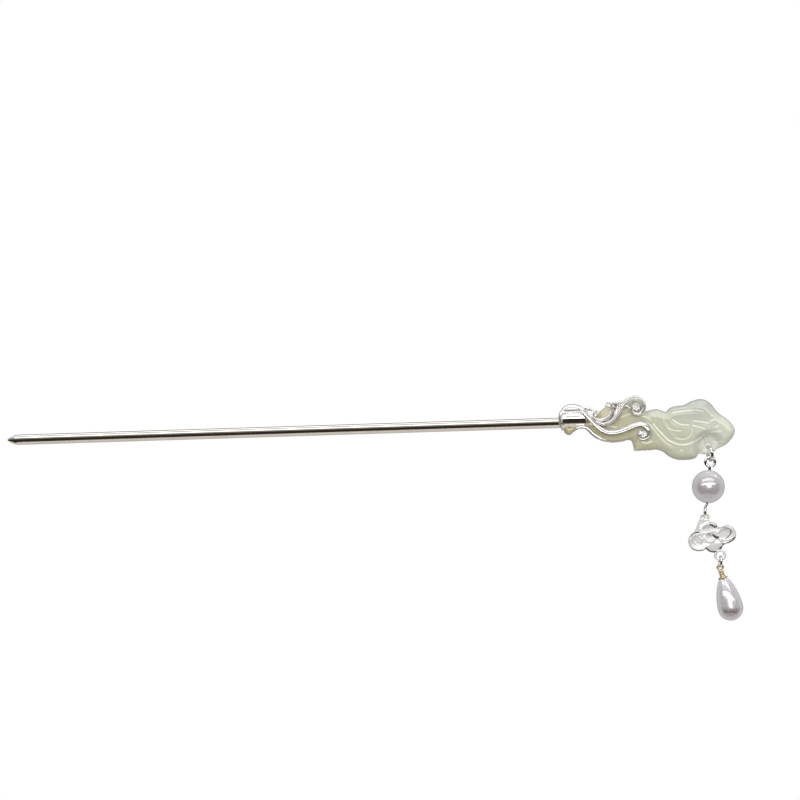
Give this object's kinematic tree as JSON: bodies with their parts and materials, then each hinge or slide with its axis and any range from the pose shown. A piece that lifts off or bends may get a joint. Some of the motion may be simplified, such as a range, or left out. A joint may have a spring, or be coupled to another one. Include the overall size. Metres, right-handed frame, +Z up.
{
  "type": "hair pin",
  "caption": "Straight metal hair stick with a carved jade head held by scrolled metal strips and a jointed pearl drop pendant.",
  "frame": {"origin": "on the stick's axis, at the face of the ferrule where the stick enters it", "axes": "+X along the stick towards the carved head, -X towards the tip, +Z up with the pendant hanging towards -Z, -Y out of the decorated front face"},
  "size_m": [0.177, 0.008, 0.0552],
  "materials": {
    "stick_metal": "polished",
    "mount_metal": "polished",
    "jade": "polished",
    "finding_metal": "polished",
    "pearl": "lustrous",
    "drop_pearl": "lustrous",
    "gold_wire": "polished"
  },
  "bodies": {
    "pin": {"stick": "stick_metal", "ferrule": "mount_metal", "main_scroll": "mount_metal", "upper_scroll": "mount_metal", "leaf_scroll": "mount_metal", "scroll_bridge": "mount_metal", "jade_carving": "jade"},
    "ring": {"jump_ring": "finding_metal"},
    "bead_pin": {"eye_pin": "finding_metal"},
    "bead": {"round_pearl": "pearl"},
    "charm": {"flower_connector": "finding_metal"},
    "link": {"lower_ring": "finding_metal"},
    "drop": {"wire_wrap": "gold_wire", "drop_pearl": "drop_pearl"}
  },
  "joints": [
    {"name": "ring_swing", "type": "hinge", "parent": "pin", "child": "ring", "pos_m": [0.0353, 0, -0.00675], "axis": [-0.2563, 0.9659, -0.036], "range_deg": [-28, 28]},
    {"name": "bead_pin_swing", "type": "hinge", "parent": "ring", "child": "bead_pin", "pos_m": [0.03568, 0, -0.00946], "axis": [0.9945, 0, -0.1045], "range_deg": [-40, 40]},
    {"name": "bead_spin", "type": "hinge", "parent": "bead_pin", "child": "bead", "pos_m": [0.03493, 0, -0.01657], "axis": [0.1045, 0, 0.9945], "continuous": true},
    {"name": "charm_swing", "type": "hinge", "parent": "bead_pin", "child": "charm", "pos_m": [0.03383, 0, -0.02374], "axis": [0, 1, 0], "range_deg": [-35, 35]},
    {"name": "link_swing", "type": "hinge", "parent": "charm", "child": "link", "pos_m": [0.03766, 0, -0.03429], "axis": [0.9397, 0, 0.342], "range_deg": [-40, 40]},
    {"name": "drop_swing", "type": "hinge", "parent": "link", "child": "drop", "pos_m": [0.03718, 0, -0.03603], "axis": [-0.1384, 0.9903, 0.0145], "range_deg": [-40, 40]}
  ]
}
